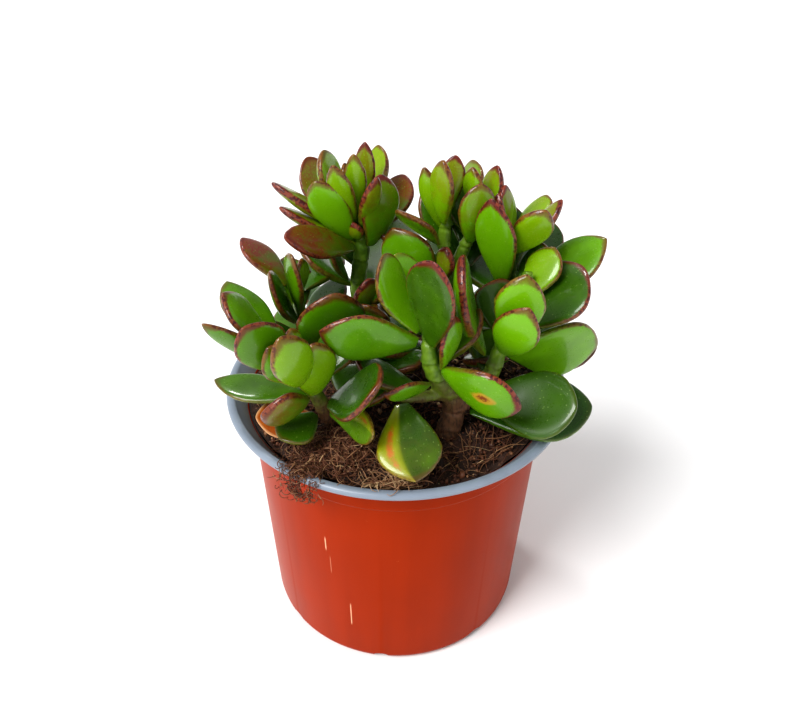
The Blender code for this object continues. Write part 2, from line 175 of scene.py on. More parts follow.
# Young leaves and those at the back: stem, side of its fork, then leaves as
# (height, azimuth, rise, reach, width, twist, curl, finish)
YOUNG = {
    "tall_left": ("stem_tall_left", 0, [
        (133, -124, 62, 22, 7, 20, 20, "young"),
        (129, -176, 33, 29, 9, 10, 0, "blush"),
        (126, -170, 29, 26, 8, 7, 0, "blush"),
        (134, -100, 80, 20, 6, 10, 10, "young"),
        (134, 60, 78, 21, 6, 17, 13, "blush"),
        (136, 160, 75, 14, 6, 0, 10, "young"),
        (131, -56, 61, 21, 6, 0, 12, "blush"),
        (128, -115, 50, 9, 5, 0, 10, "blush"),
        (104, -72, 63, 16, 9, 16, 12, "blush"),
        (118, 118, 30, 25, 13, 10, 14, "green"),
        (108, 75, 18, 27, 15, -12, 14, "green"),
        (100, 140, 6, 26, 16, 10, 14, "green"),
        (112, 165, 34, 22, 12, 14, 14, "green"),
        (124, 100, 52, 24, 11, -12, 14, "green"),
        (90, -55, 18, 26, 15, 10, 14, "green"),
        (100, -85, 42, 24, 14, -20, 14, "green"),
        (96, -15, 30, 22, 13, 14, 14, "green"),
        (106, -30, 52, 20, 11, 20, 14, "green"),
    ]),
    "mid_left": ("stem_mid_left", 0, [
        (112, 168, 48, 12, 6, 0, 10, "young"),
        (116, -40, 76, 12, 6, 10, 10, "young"),
        (90, -50, 12, 24, 15, 12, 14, "green"),
        (97, 120, 6, 24, 15, 10, 14, "green"),
        (109, 110, 30, 20, 12, -12, 14, "green"),
        (98, 5, 36, 22, 13, -10, 14, "green"),
    ]),
    "front_left": ("stem_front_left", 0, [
        (99.5, -76, 72, 21, 12, 14, 16, "young"),
        (110, -60, 78, 12, 7, 20, 10, "young"),
        (100, 128, 30, 24, 13, 10, 12, "green"),
        (92, 15, 20, 23, 14, -12, 14, "green"),
        (103, 40, 40, 20, 12, 10, 14, "green"),
    ]),
    "front": ("stem_front", -1, [
        (121, -70, 74, 12, 7, 20, 12, "young"),
        (121, 110, 70, 12, 7, -20, 12, "young"),
        (97, 165, 20, 22, 13, 12, 14, "green"),
        (106, 30, 42, 20, 12, -12, 14, "green"),
    ]),
    "right": ("stem_front", 1, [
        (113, 63, 12, 19, 14, 17, 20, "green"),
        (119, 40, 48, 17, 11, 0, 10, "young"),
        (120, 67, 28, 19, 10, -33, 5, "green"),
        (99, 78, 8, 26, 15, 10, 14, "green"),
    ]),
    "tall_middle": ("stem_tall_middle", -1, [
        (133, -168, 70, 19, 6, 50, 12, "young"),
        (117, -91, 69, 13, 7, -55, 20, "blush"),
        (137, 60, 74, 16, 7, 20, 10, "blush"),
        (120, 150, 28, 27, 15, 10, 14, "green"),
        (108, 95, 15, 30, 18, -10, 14, "green"),
        (116, 62, 34, 24, 14, 12, 14, "green"),
        (125, 112, 52, 21, 11, 8, 14, "green"),
        (98, 125, 4, 27, 17, 14, 12, "green"),
        (93, -160, 14, 26, 16, 10, 14, "green"),
        (99, -110, 36, 22, 13, -16, 14, "green"),
        (108, -135, 50, 21, 12, 16, 14, "green"),
    ]),
    "tall_middle_fork": ("stem_tall_middle", 1, [
        (133, 20, 70, 18, 8, 10, 14, "blush"),
        (136, -150, 78, 15, 7, 10, 10, "young"),
        (126, 80, 36, 23, 13, 10, 14, "green"),
        (130, 130, 56, 19, 10, 10, 14, "green"),
    ]),
    "back_right": ("stem_back_right", 0, [
        (129, 140, 80, 17, 7, 0, 8, "blush"),
        (129, -170, 74, 16, 6, 0, 8, "blush"),
        (127, 90, 40, 20, 8, 44, 6, "young"),
        (127, -56, 54, 21, 10, -39, 5, "young"),
        (127, 8, 48, 20, 7, 0, 8, "blush"),
        (112, 118, 20, 29, 18, 8, 16, "green"),
        (100, 82, 2, 30, 19, -8, 14, "green"),
        (106, 50, 16, 27, 16, 10, 14, "green"),
        (119, 92, 44, 23, 13, -10, 14, "green"),
        (104, 152, 16, 25, 15, 12, 12, "green"),
        (94, -95, 22, 20, 14, 10, 14, "green"),
        (102, -170, 30, 22, 13, -14, 14, "green"),
        (108, -80, 50, 20, 12, 12, 14, "green"),
    ]),
}


class Value:
    """A shader number; arithmetic on it adds Math nodes to its paint."""

    def __init__(self, paint, socket):
        self.paint = paint
        self.socket = socket

    def _math(self, operation, *inputs):
        return self.paint.node("ShaderNodeMath", {"operation": operation}, list(inputs))

    def __add__(self, other):
        return self._math("ADD", self, other)

    def __sub__(self, other):
        return self._math("SUBTRACT", self, other)

    def __rsub__(self, other):
        return self._math("SUBTRACT", other, self)

    def __mul__(self, other):
        return self._math("MULTIPLY", self, other)

    def __truediv__(self, other):
        return self._math("DIVIDE", self, other)

    def __lt__(self, other):
        return self._math("LESS_THAN", self, other)

    __radd__ = __add__
    __rmul__ = __mul__

    def size(self):
        """The value without its sign."""
        return self._math("ABSOLUTE", self)

    def most(self, other):
        """The larger of the two."""
        return self._math("MAXIMUM", self, other)

    def between(self, low, high):
        """0 at low and 1 at high, smooth in between; low may be above high."""
        inputs = {"Value": self, "From Min": low, "From Max": high}
        return self.paint.node("ShaderNodeMapRange", {"interpolation_type": "SMOOTHSTEP"}, inputs)


class Paint:
    """One material under construction."""

    def __init__(self, name):
        self.material = bpy.data.materials.new(name)
        self.material.use_nodes = True
        self.tree = self.material.node_tree
        self.tree.nodes.clear()

    def node(self, kind, settings=None, inputs=None, output=0):
        """A node of a kind: its settings, then its inputs by name or number, as values or links."""
        made = self.tree.nodes.new(kind)
        for key, value in (settings or {}).items():
            setattr(made, key, value)
        pairs = inputs.items() if isinstance(inputs, dict) else enumerate(inputs or [])
        for key, value in pairs:
            if isinstance(value, Value):
                self.tree.links.new(value.socket, made.inputs[key])
            else:
                made.inputs[key].default_value = value
        return Value(self, made.outputs[output])

    def place(self):
        """Object coordinates, in metres."""
        return self.node("ShaderNodeTexCoord", output="Object")

    def attribute(self, name):
        return self.node("ShaderNodeAttribute", {"attribute_name": name}, output="Fac")

    def noise(self, place, size, detail=2.0, roughness=0.5):
        """Noise from 0 to 1 whose blotches are about size metres across."""
        inputs = {"Vector": place, "Scale": 1 / size, "Detail": detail, "Roughness": roughness}
        return self.node("ShaderNodeTexNoise", inputs=inputs)

    def cells(self, place, size):
        """Distance from the middle of a cell, 0 at the middle, in cell sizes."""
        inputs = {"Vector": place, "Scale": 1 / size}
        return self.node("ShaderNodeTexVoronoi", inputs=inputs, output="Distance")

    def mix(self, factor, first, second):
        """Colours as RGB triples or links."""
        inputs = {0: factor}
        for slot, colour in ((6, first), (7, second)):
            inputs[slot] = colour if isinstance(colour, Value) else (*colour, 1.0)
        return self.node("ShaderNodeMix", {"data_type": "RGBA"}, inputs, output=2)

    def squeezed(self, place, scale):
        """The place with each axis scaled, for patterns that are drawn out."""
        return self.node("ShaderNodeVectorMath", {"operation": "MULTIPLY"}, [place, scale])

    def apart(self, place):
        """X, Y and Z of a place as three values."""
        first = self.node("ShaderNodeSeparateXYZ", inputs=[place])
        return [Value(self, socket) for socket in first.socket.node.outputs]

    def bump(self, height, strength, distance):
        """A normal tilted by the height's slope."""
        inputs = {"Height": height, "Strength": strength, "Distance": distance}
        return self.node("ShaderNodeBump", inputs=inputs)

    def finish(self, **inputs):
        """Ends the material in a Principled shader; names have _ for a space."""
        named = {key.replace("_", " ").replace("Colour", "Color"): value for key, value in inputs.items()}
        shader = self.node("ShaderNodeBsdfPrincipled", inputs=named)
        end = self.tree.nodes.new("ShaderNodeOutputMaterial")
        self.tree.links.new(shader.socket, end.inputs["Surface"])
        return self.material


def leaf_finish(slot, deep, under, roughness):
    """Waxy leaf: green by face, red grained margin, pale pores, and blushes carried by its own values.

    The under face is paler, partly its own colour and partly painted light shining through the leaf; the
    paler edge line of the margin is partly painted sheen.
    """
    paint = Paint(slot)
    place = paint.place()
    edge, along = paint.attribute("edge"), paint.attribute("along")
    lime, flush, margin = paint.attribute("lime"), paint.attribute("flush"), paint.attribute("margin")
    broad = paint.noise(place, 0.007, 3.0)
    patch = paint.noise(place, 0.0026, 4.0)
    grain = paint.noise(place, 0.00045, 3.0, 0.6)
    pores = paint.cells(place, 0.0013) < 0.13
    # Under face paler than the upper: partly the leaf's own paler underside, partly painted light shining
    # through it
    colour = paint.mix(paint.attribute("face").between(-0.3, 0.35), under, deep)
    bright = (lime * 0.85 + (broad - 0.5) * 0.5).between(0.1, 1.0)
    colour = paint.mix(bright, colour, (0.155, 0.38, 0.001))
    colour = paint.mix(paint.attribute("yellow") * (patch * 0.5 + 0.6), colour, (0.34, 0.37, 0.004))
    rosy = flush * (broad * 0.9 + patch * 0.9 + along * 0.75 - 1.0).between(0.0, 0.5)
    rosy = rosy * (0.55 + grain.between(0.35, 0.6) * 0.45)
    colour = paint.mix(rosy, colour, (0.20, 0.018, 0.008))
    colour = paint.mix(pores * (patch * 0.45), colour, (0.42, 0.60, 0.16))
    spread = 0.22 + along.between(0.8, 1.0) * 1.5 + (patch - 0.42) * 1.5
    ragged = edge + (grain - 0.5) * 1.3
    band = (1 - (ragged / spread.most(0.2)).between(0.3, 1.3)) * margin
    colour = paint.mix(band * 0.9, colour, (0.125, 0.010, 0.006))
    # Paler red line at the very edge: partly the margin's own red, partly painted sheen on the ridge
    rim = (1 - (edge + (grain - 0.5) * 0.5).between(0.05, 0.35)) * margin
    colour = paint.mix(rim * 0.6, colour, (0.24, 0.05, 0.022))
    beads = (1 - edge.between(0.1, 0.5)) * paint.noise(place, 0.0009, 1.0).between(0.5, 0.58)
    colour = paint.mix(beads * margin, colour, (0.06, 0.003, 0.004))
    hot = paint.attribute("streak") * (patch * 1.3 + grain * 0.8 - 0.35)
    colour = paint.mix(hot.between(0.2, 0.9) * 0.85, colour, (0.50, 0.10, 0.012))
    spot = paint.attribute("spot")
    colour = paint.mix((spot + (patch - 0.5) * 0.5).between(0.45, 0.75), colour, (0.40, 0.25, 0.02))
    colour = paint.mix((spot + (grain - 0.5) * 0.5).between(0.78, 0.95), colour, (0.20, 0.05, 0.008))
    ridges = (1 - edge.between(0.1, 0.9)) * grain * margin * 1.8
    height = grain * 0.25 + ridges - pores * 0.3 + broad * 0.6
    gloss = roughness + (grain - 0.5) * 0.2 + (patch - 0.5) * 0.16 + band * 0.08
    return paint.finish(Base_Colour=colour, Roughness=gloss.most(0.08),
                        Normal=paint.bump(height, 0.35, 0.00012),
                        Coat_Weight=0.4, Coat_Roughness=0.07, Subsurface_Weight=0.12,
                        Subsurface_Radius=(0.6, 1.0, 0.1), Subsurface_Scale=0.0015, Specular_IOR_Level=0.28)


def dead_leaf_finish():
    """Papery orange leaf with brown veins and spots."""
    paint = Paint("dead")
    place = paint.place()
    patch = paint.noise(place, 0.004, 5.0, 0.65)
    grain = paint.noise(place, 0.0005, 3.0)
    colour = paint.mix(patch.between(0.3, 0.75), (0.62, 0.17, 0.012), (0.40, 0.075, 0.008))
    colour = paint.mix((1 - paint.attribute("edge").between(0.1, 0.7)), colour, (0.66, 0.34, 0.16))
    colour = paint.mix(grain.between(0.62, 0.75) * 0.6, colour, (0.2, 0.03, 0.006))
    return paint.finish(Base_Colour=colour, Roughness=0.55,
                        Normal=paint.bump(patch + grain * 0.4, 0.5, 0.0002),
                        Subsurface_Weight=0.1, Subsurface_Radius=(1.0, 0.4, 0.1), Subsurface_Scale=0.001)


def stem_finish():
    """Green succulent stem, corky brown towards the foot, with paler flecks."""
    paint = Paint("stem")
    place = paint.place()
    height = paint.apart(place)[2]
    patch = paint.noise(place, 0.004, 4.0, 0.6)
    grain = paint.noise(paint.squeezed(place, (1.0, 1.0, 0.35)), 0.0007, 3.0)
    colour = paint.mix(patch.between(0.3, 0.7), (0.075, 0.155, 0.010), (0.16, 0.27, 0.015))
    corky = 1 - (height + (patch - 0.5) * 0.018).between(0.088, 0.106)
    colour = paint.mix(corky, colour, (0.135, 0.062, 0.026))
    colour = paint.mix(corky * grain.between(0.45, 0.7), colour, (0.05, 0.022, 0.010))
    colour = paint.mix(grain.between(0.66, 0.8) * 0.5, colour, (0.36, 0.36, 0.16))
    return paint.finish(Base_Colour=colour, Roughness=0.38 + corky * 0.3, Subsurface_Weight=0.1,
                        Subsurface_Radius=(0.5, 1.0, 0.15), Subsurface_Scale=0.001,
                        Normal=paint.bump(patch * 0.6 + grain, 0.5, 0.0003))


def pot_finish(colour_out):
    """Moulded plastic: faint vertical flow marks, a few pale scuffs, and patches of soil dust."""
    paint = Paint("pot")
    place = paint.place()
    x, y, z = paint.apart(place)
    flow = paint.noise(paint.squeezed(place, (1.0, 1.0, 0.06)), 0.006, 3.0)
    cloud = paint.noise(place, 0.03, 3.0)
    grain = paint.noise(place, 0.0006, 2.0)
    darker = tuple(c * 0.87 for c in colour_out)
    colour = paint.mix(flow.between(0.25, 0.8), colour_out, darker)
    colour = paint.mix(cloud.between(0.35, 0.8) * 0.35, colour, tuple(min(1.0, c * 1.25) for c in colour_out))
    angle = paint.node("ShaderNodeMath", {"operation": "ARCTAN2"}, [y, x])
    scuffs = None
    for turn, lean, foot, top, half, strength in SCUFFS:
        off = (angle - math.radians(turn) - (z - top * MM) * (lean / SCUFF_RADIUS)).size() * SCUFF_RADIUS
        stretch = (z / MM).between(foot, foot + 2) * (1 - (z / MM).between(top - 2, top))
        line = (1 - off.between(half * 0.4, half)) * stretch * strength
        scuffs = line if scuffs is None else scuffs.most(line)
    colour = paint.mix(scuffs, colour, (0.80, 0.42, 0.26))
    dust = paint.noise(place, 0.0015, 5.0, 0.7).between(0.69, 0.76) * (cloud.between(0.4, 0.6) * 0.6 + 0.2)
    colour = paint.mix(dust * 0.35, colour, (0.70, 0.30, 0.14))
    gloss = 0.34 + (cloud - 0.5) * 0.12 + scuffs * 0.2 + dust * 0.2
    return paint.finish(Base_Colour=colour, Roughness=gloss, Specular_IOR_Level=0.05,
                        Normal=paint.bump(grain + flow * 0.6, 0.12, 0.0001))


def lip_finish(colour_in):
    """The blue-grey inner layer, with scuffs and a film of soil near the root ball."""
    paint = Paint("pot_lining")
    place = paint.place()
    z = paint.apart(place)[2]
    cloud = paint.noise(place, 0.008, 4.0)
    grain = paint.noise(place, 0.0012, 5.0, 0.7)
    colour = paint.mix(cloud.between(0.3, 0.75), colour_in, tuple(c * 0.86 for c in colour_in))
    dirty = (1 - (z / MM + (cloud - 0.5) * 3.0).between(79.5, 83.0)) * 0.55
    colour = paint.mix(dirty, colour, (0.17, 0.15, 0.11))
    colour = paint.mix(grain.between(0.66, 0.74) * 0.6, colour, (0.07, 0.045, 0.03))
    return paint.finish(Base_Colour=colour, Roughness=0.36 + (cloud - 0.5) * 0.2,
                        Normal=paint.bump(grain, 0.15, 0.0001))


def soil_finish():
    """Dark peat with red-brown and straw-coloured bits."""
    paint = Paint("soil")
    place = paint.place()
    patch = paint.noise(place, 0.005, 5.0, 0.7)
    bits = paint.noise(place, 0.0011, 4.0, 0.7)
    colour = paint.mix(patch.between(0.35, 0.7), (0.022, 0.010, 0.006), (0.060, 0.022, 0.011))
    colour = paint.mix(bits.between(0.6, 0.7), colour, (0.16, 0.075, 0.035))
    colour = paint.mix(paint.noise(place, 0.0008, 2.0).between(0.70, 0.74) * 0.6, colour, (0.42, 0.30, 0.18))
    return paint.finish(Base_Colour=colour, Roughness=0.85, Normal=paint.bump(bits + patch, 0.8, 0.0006))


def coir_finish(name="coir"):
    """Fibres and crumbs, each from near black through red-brown to straw by its own tint."""
    paint = Paint(name)
    tint = paint.attribute("tint")
    grain = paint.noise(paint.place(), 0.0009, 3.0)
    shade = tint + (grain - 0.5) * 0.2
    colour = paint.mix(shade.between(0.0, 0.5), (0.030, 0.011, 0.006), (0.150, 0.055, 0.026))
    colour = paint.mix(shade.between(0.5, 0.8), colour, (0.34, 0.18, 0.09))
    colour = paint.mix(shade.between(0.8, 1.0), colour, (0.58, 0.40, 0.22))
    return paint.finish(Base_Colour=colour, Roughness=0.55, Specular_IOR_Level=0.4)


def noise_at(points, size, seed):
    """Smooth noise from -1 to 1: random values on a cubic lattice of the size, blended between corners."""
    cell = points / size + 1000.0
    base = np.floor(cell).astype(np.int64)
    part = cell - base
    part = part * part * (3 - 2 * part)
    total = np.zeros(len(points))
    for corner in range(8):
        step = np.array([corner & 1, corner >> 1 & 1, corner >> 2 & 1])
        at = base + step
        key = (at[:, 0] * 73856093) ^ (at[:, 1] * 19349663) ^ (at[:, 2] * 83492791) ^ (seed * 2654435761)
        key = (key ^ (key >> 13)) * 1274126177 & 0xFFFFFFFF
        value = ((key ^ (key >> 16)) & 0xFFFF) / 32767.5 - 1
        weight = np.prod(np.where(step, part, 1 - part), axis=1)
        total += value * weight
    return total


def unit(vector):
    """The same way, one long."""
    return vector / np.linalg.norm(vector)


def smooth_step(low, high, value):
    """0 at low and 1 at high, with no kink at either."""
    share = np.clip((value - low) / (high - low), 0, 1)
    return share * share * (3 - 2 * share)


def new_piece(name, points_mm, faces, material, attributes=None):
    """A smooth mesh object from an array of points in mm, riding on the plant's one body."""
    mesh = bpy.data.meshes.new(name)
    mesh.from_pydata((np.asarray(points_mm) * MM).tolist(), [], faces)
    for key, values in (attributes or {}).items():
        layer = mesh.attributes.new(key, "FLOAT", "POINT")
        layer.data.foreach_set("value", np.asarray(values, np.float32))
    mesh.shade_smooth()
    mesh.materials.append(material)
    piece = bpy.data.objects.new(name, mesh)
    bpy.context.scene.collection.objects.link(piece)
    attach(piece, "root")
    return piece


def outward(mesh):
    """Turns all faces of a closed mesh outwards."""
    shell = bmesh.new()
    shell.from_mesh(mesh)
    bmesh.ops.recalc_face_normals(shell, faces=shell.faces)
    shell.to_mesh(mesh)
    shell.free()


def tube_faces(rows, columns):
    """Quads of a grid of rows by columns that closes round, and fans to one point before and one after it."""
    row, column = np.meshgrid(np.arange(rows - 1), np.arange(columns), indexing="ij")
    after = (column + 1) % columns
    quads = np.stack([row * columns + column, row * columns + after,
                      (row + 1) * columns + after, (row + 1) * columns + column], -1).reshape(-1, 4)
    first, last = rows * columns, rows * columns + 1
    faces = quads.tolist()
    for k in range(columns):
        turn = (k + 1) % columns
        faces.append((turn, k, first))
        faces.append(((rows - 1) * columns + k, (rows - 1) * columns + turn, last))
    return faces


def welded(node):
    """The distinct corners of a CAD node in mm, and its triangles over them."""
    mesh = NODES[node].data
    corners = np.empty(len(mesh.vertices) * 3, np.float32)
    mesh.vertices.foreach_get("co", corners)
    corners = np.round(corners.reshape(-1, 3).astype(float) / MM, 3)
    mesh.calc_loop_triangles()
    faces = np.empty(len(mesh.loop_triangles) * 3, np.int64)
    mesh.loop_triangles.foreach_get("vertices", faces)
    points, index = np.unique(corners, axis=0, return_inverse=True)
    return points, index.ravel()[faces].reshape(-1, 3)


def leaf_half_width(share, width, pointed=0.0):
    """Obovate outline: a sine of a power of the length, plus a short stalk.

    Pointed blends in straighter sides from the widest place to the tip.
    """
    blunt = np.sin(np.pi * share**WIDEST) ** 0.6
    beyond = np.clip((share - WIDE_AT) / (1 - WIDE_AT), 0, 1)
    sharp = np.where(share > WIDE_AT, (1 - beyond**1.8) ** 0.8, blunt)
    return width / 2 * (blunt + (sharp - blunt) * pointed + 0.2 * (1 - share) ** 6)


def leaf_depth(share):
    """Thickness along the leaf, as a share of the thickest place."""
    return np.sin(np.pi * share**1.1) ** 0.45


def read_leaf(node):
    """Base, tip, side, up, width, thickness and curl of a CAD leaf.

    Its sections lie square to the line from base to tip, so the right pair of end points is the one
    that sorts all other corners into seven flat groups of eight.
    """
    points, faces = welded(node)
    count = np.bincount(np.concatenate([faces[:, 0], faces[:, 1], faces[:, 2]]), minlength=len(points))
    ends = [k for k in range(len(points)) if count[k] == LEAF_SIDES]
    best = None
    for a in ends:
        for b in ends:
            if a >= b:
                continue
            axis = unit(points[b] - points[a])
            others = np.delete(points, [a, b], axis=0)
            reach = (others - points[a]) @ axis
            order = np.argsort(reach)
            groups = reach[order].reshape(len(STATIONS), LEAF_SIDES)
            spread = (groups.max(1) - groups.min(1)).max()
            if best is None or spread < best[0]:
                best = (spread, points[a], points[b], others[order].reshape(len(STATIONS), LEAF_SIDES, 3))
    base, tip, rings = best[1:]
    across = np.array([np.linalg.norm(ring[:, None] - ring[None], axis=2).max() for ring in rings])
    if across[NARROW] > across[WIDE]:
        base, tip, rings, across = tip, base, rings[::-1], across[::-1]
    ring = rings[WIDE]
    gaps = np.linalg.norm(ring[:, None] - ring[None], axis=2)
    a, b = np.unravel_index(gaps.argmax(), gaps.shape)
    axis = unit(tip - base)
    side = unit(ring[a] - ring[b])
    up = np.cross(side, axis)
    middle = (ring[a] + ring[b]) / 2
    heights = (ring - middle) @ up
    if heights.max() > -heights.min():
        up, side, heights = -up, -side, -heights
    width = gaps.max() / (2 * leaf_half_width(STATIONS[WIDE], 1.0))
    thickness = (heights.max() - heights.min()) / leaf_depth(STATIONS[WIDE])
    ring = rings[MIDDLE]
    reach = (ring - ring.mean(0)) @ side
    middle = (ring[reach.argmax()] + ring[reach.argmin()]) / 2
    sag = -(middle - base) @ up
    chord = np.linalg.norm(tip - base)
    curl = 4 * math.atan(2 * sag / chord)
    return {"base": base, "tip": tip, "side": side, "up": up, "width": width,
            "thickness": thickness, "curl": curl}


def placed_leaf(root, azimuth, rise, reach, width, twist, curl):
    """The same seven facts for a leaf placed on a stem by its angles."""
    a, e = math.radians(azimuth), math.radians(rise)
    out = np.array([math.cos(a), math.sin(a), 0.0])
    forward = out * math.cos(e) + np.array([0, 0, math.sin(e)])
    tip = root + forward * reach
    base = root + out * STALK_RADIUS * 0.8 * math.cos(e) ** 0.3
    axis = unit(tip - base)
    up = unit(np.array([0, 0, 1.0]) - axis * axis[2])
    t = math.radians(twist)
    up = up * math.cos(t) + np.cross(axis, up) * math.sin(t)
    thickness = 1.2 + 0.2 * width
    return {"base": base, "tip": tip, "side": np.cross(axis, up), "up": up, "width": width,
            "thickness": thickness, "curl": math.radians(curl)}


def leaf_piece(name, leaf, kind, looks, material, seed):
    """A fine leaf on a grid of share along the leaf by angle round its section.

    The middle line is an arc from base to tip with a slight sway. The section is half a lens above
    and a fuller half below, with a dish down the upper face, a narrow raised rim where they meet
    and shallow waves all over. The finish reads the attributes that are worked out on the same grid.
    """
    rng = np.random.default_rng(seed)
    base, tip, side, up = (leaf[key] for key in ("base", "tip", "side", "up"))
    axis, chord = unit(tip - base), np.linalg.norm(tip - base)
    curl = leaf["curl"] if abs(leaf["curl"]) > 0.01 else 0.01
    bend_radius = chord / (2 * math.sin(curl / 2))
    pointed = looks.get("pointed", 0.6)
    share = (1 - np.cos(np.pi * (np.arange(LEAF_ROWS) + 0.5) / LEAF_ROWS)) / 2
    turn = 2 * np.pi * np.arange(LEAF_COLUMNS) / LEAF_COLUMNS
    s, t = np.meshgrid(share, turn, indexing="ij")
    across, lift = np.cos(t), np.sin(t)
    outline = leaf_half_width(s, leaf["width"], pointed)
    deep = leaf["thickness"] * looks.get("plump", 1.12) * leaf_depth(s)
    dish = looks.get("dish", 0.25) * np.sin(np.pi * s) * (1 - across**2) ** 1.5
    above = 0.38 * (np.abs(lift) ** 0.62 - 0.6 * dish)
    below = 0.62 * np.abs(lift) ** 0.72
    rise = deep * np.where(lift >= 0, above, -below)
    rim = np.exp(-((lift / 0.14) ** 2)) * smooth_step(0.0, 0.2, s)
    wave = rng.uniform(0, 2 * np.pi, 6)
    scallop = 0.05 * np.sin(1.9 * s * chord + wave[0]) + 0.04 * np.sin(23 * s + wave[1])
    half = outline + rim * (0.16 + scallop)
    rise = rise + 0.10 * np.sin(8 * s + wave[2]) * np.cos(t + wave[3]) * np.sin(np.pi * s)
    rise = rise + 0.012 * leaf["width"] * np.sin(5 * s + wave[4]) * across**2
    crease = looks.get("crease", 0.0)
    ridge = np.exp(-((across + crease) / 0.3) ** 2) * np.sin(np.pi * s)
    rise = rise + np.abs(crease) * 1.1 * ridge * (lift > 0)
    sway = 0.012 * chord * math.sin(wave[5]) * np.sin(np.pi * s)
    angle = curl * (s - 0.5)
    forward = chord / 2 + bend_radius * np.sin(angle)
    sag = bend_radius * (np.cos(angle) - math.cos(curl / 2))
    tilt = math.radians(7) * math.sin(wave[3]) * (s - 0.3)
    x = half * across
    flat, high = x * np.cos(tilt) - rise * np.sin(tilt), x * np.sin(tilt) + rise * np.cos(tilt)
    points = (base + forward[..., None] * axis + (flat + sway)[..., None] * side
              + (high - sag)[..., None] * up).reshape(-1, 3)
    edge = edge_distance(s, across, chord, leaf["width"], pointed)
    red = looks.get("margin", KIND_LOOKS[kind]["margin"]) * (0.25 + 0.75 * smooth_step(0.15, 0.75, s))
    yellow = looks.get("yellow", KIND_LOOKS[kind]["yellow"]) + rng.uniform(-0.05, 0.05)
    mark = np.zeros_like(s)
    if "spot" in looks:
        along_at, across_at = looks["spot"]
        mark = np.exp(-((s - along_at) / 0.19) ** 2 - ((across - across_at) / 0.3) ** 2) * (lift < 0)
    streak = np.zeros_like(s)
    if crease:
        # Yellowing kept to one side of the crease: the turning colour is real, the green left on the other
        # side is painted shade
        yellow = yellow * smooth_step(0.12, -0.12, (across + crease) * np.sign(crease))
        streak = np.exp(-((across + 2.0 * crease) / 0.15) ** 2)
        streak = streak * smooth_step(0.1, 0.4, s) * smooth_step(1, 0.75, s)
    lime = looks.get("lime", KIND_LOOKS[kind]["lime"]) + rng.uniform(-0.08, 0.08)
    flush = looks.get("flush", KIND_LOOKS[kind]["flush"])
    grids = {"edge": (edge, 0, 0), "along": (s, 0, 1), "face": (lift, 0, 0), "margin": (red, 0, 1),
             "yellow": (yellow * np.ones_like(s), 0, 0), "spot": (mark, 0, 0), "streak": (streak, 0, 0),
             "lime": (np.full_like(s, lime), lime, lime), "flush": (np.full_like(s, flush), flush, flush)}
    attributes = {key: np.append(grid.ravel(), [first, last]) for key, (grid, first, last) in grids.items()}
    faces = tube_faces(LEAF_ROWS, LEAF_COLUMNS)
    piece = new_piece(name, np.vstack([points, base, tip]), faces, material, attributes)
    outward(piece.data)
    return piece


def edge_distance(share, across, chord, width, pointed):
    """Distance in mm, seen flat on, from each point of a leaf to its outline."""
    spots = np.linspace(0, 1, 141)
    halves = leaf_half_width(spots, width, pointed)
    outline = np.concatenate([np.stack([spots * chord, halves], 1), np.stack([spots * chord, -halves], 1)])
    flat = np.stack([share * chord, leaf_half_width(share, width, pointed) * across], -1).reshape(-1, 2)
    return np.sqrt(((flat[:, None] - outline[None]) ** 2).sum(2)).min(1).reshape(share.shape)


def stem_middle(node, side, height):
    """Middle of a stem at a height; side -1 or 1 picks the left or right of a fork."""
    points = welded(node)[0]
    near = points[np.abs(points[:, 2] - height) < 5.0]
    if len(near) < 4:
        near = points[np.argsort(-points[:, 2])[:9]]
    if side:
        middle = (near[:, 0].min() + near[:, 0].max()) / 2
        if near[:, 0].max() - near[:, 0].min() > 7:
            near = near[(near[:, 0] - middle) * side > 0]
    centre = near.mean(0)
    return np.array([centre[0], centre[1], height])


def soil_height(x, y):
    """Level of the soil: flat, with heaps and shallow waves."""
    height = SOIL_LEVEL + 0.5 * np.sin(0.31 * x + 1) * np.cos(0.27 * y)
    for mx, my, rise, spread in MOUNDS:
        height = height + rise * np.exp(-((x - mx) ** 2 + (y - my) ** 2) / (2 * spread**2))
    return height


def ground(x, y):
    """What a loose fibre lies on: the soil, then the lip, then nothing but its own droop outside it."""
    radius = np.hypot(x, y)
    onto = smooth_step(LIP_RADIUS - 6.6, LIP_RADIUS - 2.6, radius)
    height = soil_height(x, y) * (1 - onto) + np.maximum(POT_HEIGHT, soil_height(x, y)) * onto
    return height - 2.2 * np.maximum(0, radius - LIP_RADIUS + 0.4)


def rounded(corners, steps=5):
    """A profile with each corner (radius, height, rounding) replaced by a short smooth curve."""
    points = []
    for k, (r, z, rounding) in enumerate(corners):
        here = np.array([r, z], float)
        if rounding == 0 or k in (0, len(corners) - 1):
            points.append(here)
            continue
        before = np.array(corners[k - 1][:2], float) - here
        after = np.array(corners[k + 1][:2], float) - here
        cut = min(rounding, np.linalg.norm(before) * 0.48, np.linalg.norm(after) * 0.48)
        a, b = here + unit(before) * cut, here + unit(after) * cut
        for t in np.linspace(0, 1, steps):
            points.append((1 - t) ** 2 * a + 2 * t * (1 - t) * here + t**2 * b)
    return np.array(points)


def wall_radius(height, settings):
    """Outside radius of the tapered wall."""
    top = POT_HEIGHT - settings.lip_drop / MM
    foot = settings.base_radius / MM
    return foot + (settings.collar_radius / MM - foot) * (height - 3.0) / (top - 3.0)


